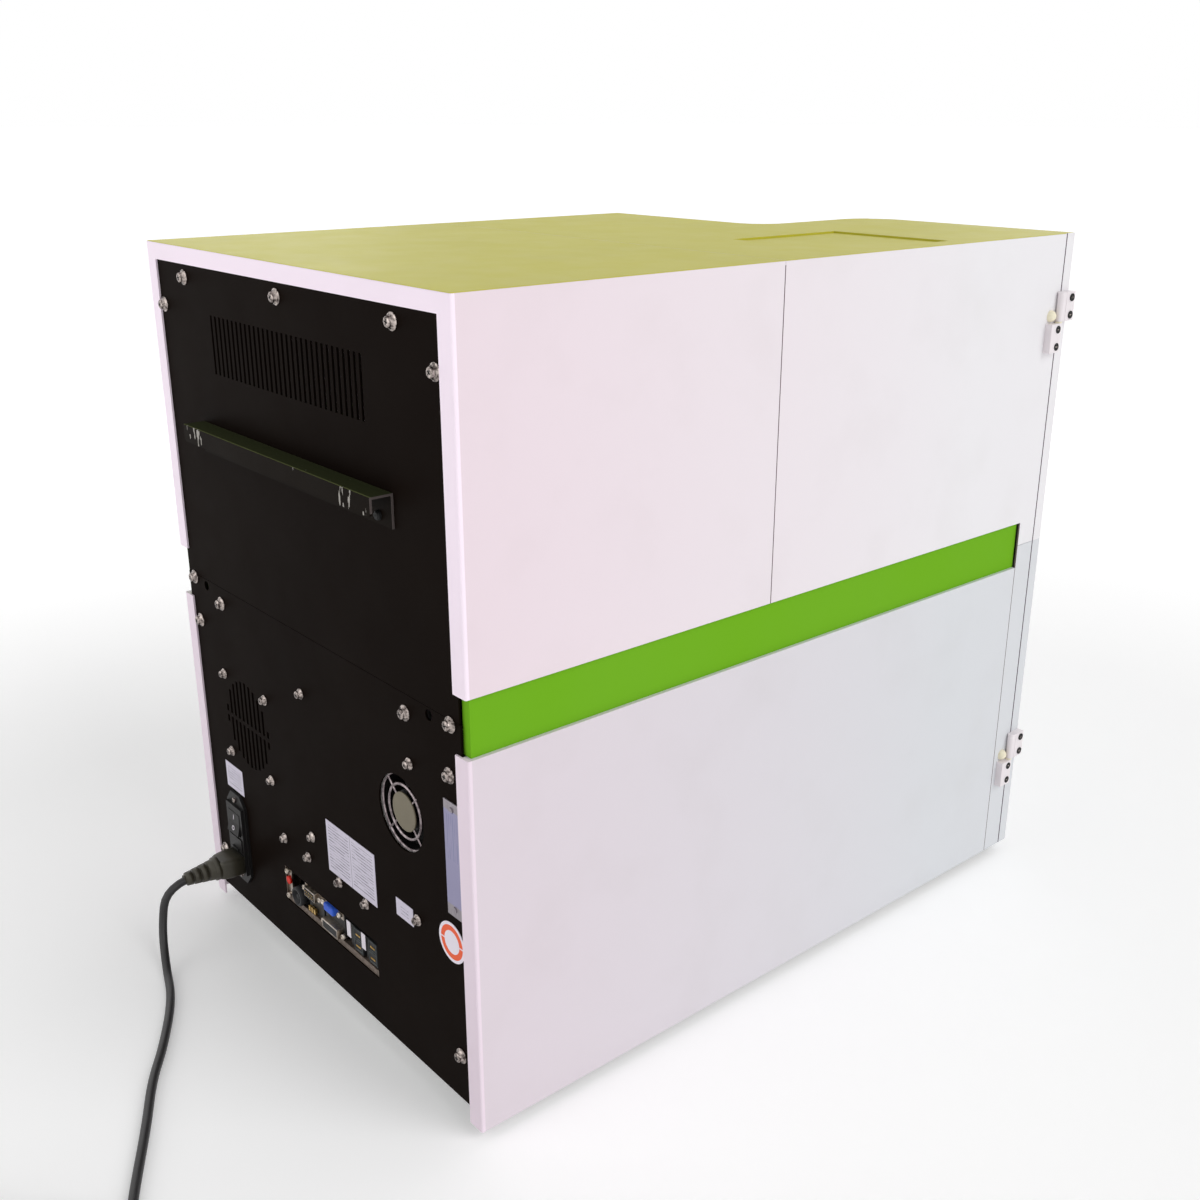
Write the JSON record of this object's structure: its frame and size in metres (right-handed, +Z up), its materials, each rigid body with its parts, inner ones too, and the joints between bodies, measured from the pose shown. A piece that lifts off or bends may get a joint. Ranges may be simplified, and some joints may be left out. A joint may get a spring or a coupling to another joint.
{
  "type": "microplate counter",
  "caption": "Bench-top microplate scintillation counter with a hinged door, stacker bay, X-Y plate conveyor, elevators, paired detectors and a rear connector panel.",
  "frame": {"origin": "middle of the case's bounding box, at the level of the feet's undersides", "axes": "+X to the right seen from the front, +Y towards the rear connector panel, +Z up"},
  "size_m": [0.4268, 0.9703, 0.588],
  "materials": {
    "case_paint": "fine texture",
    "green_paint": "satin",
    "black_paint": "satin",
    "zinc_sheet": "satin",
    "bright_steel": "bright",
    "aluminium": "satin",
    "shield_metal": "matt",
    "black_plastic": "matt",
    "board": "gloss",
    "hinge_metal": "satin",
    "nylon": "matt",
    "tube_glass": "gloss",
    "label_film": "satin",
    "rubber": "matt"
  },
  "bodies": {
    "case": {"side_panel_left": "case_paint", "side_panel_right": "case_paint", "front_pillar": "case_paint", "hood_rear": "case_paint", "hood_front": "case_paint", "bay_wall": "case_paint", "top_lid": "case_paint", "trim_bands": "green_paint", "front_panel_right": "case_paint", "bay_floor": "case_paint", "base_plate": "zinc_sheet", "feet": "rubber", "mid_deck": "aluminium", "frame_posts": "aluminium", "front_frame": "zinc_sheet", "latch_magnets": "zinc_sheet", "rear_panel_lower": "black_paint", "rear_panel_upper": "black_paint", "rear_rail": "black_paint", "panel_screws": "bright_steel", "power_entry": "black_plastic", "fan_frames": "black_plastic", "small_fan_guard": "bright_steel", "power_supply": "zinc_sheet", "io_tray": "zinc_sheet", "circuit_boards": "board", "high_voltage_supply": "zinc_sheet", "hinge_leaves_body": "hinge_metal", "hinge_buffers": "nylon", "guide_rods": "bright_steel", "rod_brackets": "aluminium", "drive_motors": "black_plastic", "detector_bridge": "aluminium", "detector_shields": "shield_metal", "photomultipliers": "tube_glass", "stack_racks": "zinc_sheet", "labels": "label_film", "rating_plate": "zinc_sheet", "mains_connector": "rubber", "mains_lead": "rubber", "mains_lead_coil": "rubber", "mains_plug": "rubber"},
    "door": {"door_panel": "case_paint", "door_pan": "case_paint", "hinge_leaves_door": "hinge_metal"},
    "rocker": {"rocker_switch": "black_plastic"},
    "fuse_drawer": {"fuse_drawer": "black_plastic"},
    "large_rotor": {"large_fan_rotor": "black_plastic"},
    "small_rotor": {"small_fan_rotor": "black_plastic"},
    "cross_slide": {"cross_slide": "aluminium", "x_motor": "black_plastic", "x_belt": "rubber"},
    "carriage": {"carriage": "aluminium"},
    "y_screw": {"y_screw": "bright_steel"},
    "drive_pulley": {"drive_pulley": "aluminium"},
    "idler_pulley": {"idler_pulley": "aluminium"},
    "elevator_left": {"elevator_left": "aluminium"},
    "elevator_right": {"elevator_right": "aluminium"},
    "elevator_screw_left": {"elevator_screw_left": "bright_steel"},
    "elevator_screw_right": {"elevator_screw_right": "bright_steel"}
  },
  "joints": [
    {"name": "door_hinge", "type": "hinge", "parent": "case", "child": "door", "pos_m": [-0.21, -0.30695, 0.308], "axis": [0, 0, -1], "range_deg": [0, 110]},
    {"name": "rocker_pivot", "type": "hinge", "parent": "case", "child": "rocker", "pos_m": [0.15365, 0.30675, 0.1015], "axis": [-1, 0, 0], "range_deg": [0, 14]},
    {"name": "fuse_drawer_slide", "type": "slide", "parent": "case", "child": "fuse_drawer", "axis": [0, 1, 0], "range_m": [0, 0.025]},
    {"name": "large_fan_turn", "type": "hinge", "parent": "case", "child": "large_rotor", "pos_m": [0.11765, 0.29375, 0.2055], "axis": [0, 1, 0], "continuous": true},
    {"name": "small_fan_turn", "type": "hinge", "parent": "case", "child": "small_rotor", "pos_m": [-0.11885, 0.29175, 0.2245], "axis": [0, 1, 0], "continuous": true},
    {"name": "cross_slide_travel", "type": "slide", "parent": "case", "child": "cross_slide", "axis": [0, 1, 0], "range_m": [-0.203, 0.0615]},
    {"name": "carriage_travel", "type": "slide", "parent": "cross_slide", "child": "carriage", "axis": [1, 0, 0], "range_m": [-0.0315, 0.2477]},
    {"name": "y_screw_turn", "type": "hinge", "parent": "case", "child": "y_screw", "pos_m": [-0.15685, -0.00625, 0.311], "axis": [0, 1, 0], "range_deg": [-7330, 2230]},
    {"name": "drive_pulley_turn", "type": "hinge", "parent": "cross_slide", "child": "drive_pulley", "pos_m": [-0.13685, 0.09675, 0.336], "axis": [0, 0, 1], "range_deg": [-210, 1590]},
    {"name": "idler_pulley_turn", "type": "hinge", "parent": "cross_slide", "child": "idler_pulley", "pos_m": [0.17515, 0.09675, 0.336], "axis": [0, 0, 1], "range_deg": [-210, 1590]},
    {"name": "elevator_left_travel", "type": "slide", "parent": "case", "child": "elevator_left", "axis": [0, 0, 1], "range_m": [0, 0.06]},
    {"name": "elevator_screw_left_turn", "type": "hinge", "parent": "case", "child": "elevator_screw_left", "pos_m": [0.06945, -0.25125, 0.158], "axis": [0, 0, 1], "range_deg": [0, 2170]},
    {"name": "elevator_right_travel", "type": "slide", "parent": "case", "child": "elevator_right", "axis": [0, 0, 1], "range_m": [0, 0.06]},
    {"name": "elevator_screw_right_turn", "type": "hinge", "parent": "case", "child": "elevator_screw_right", "pos_m": [0.16085, -0.25125, 0.158], "axis": [0, 0, 1], "range_deg": [0, 2170]}
  ],
  "couplings": [
    {"joint": "y_screw_turn", "follows": "cross_slide_travel", "rad_per_m": 628.32},
    {"joint": "drive_pulley_turn", "follows": "carriage_travel", "rad_per_m": 111.11},
    {"joint": "idler_pulley_turn", "follows": "carriage_travel", "rad_per_m": 111.11},
    {"joint": "elevator_screw_left_turn", "follows": "elevator_left_travel", "rad_per_m": 628.32},
    {"joint": "elevator_screw_right_turn", "follows": "elevator_right_travel", "rad_per_m": 628.32}
  ]
}
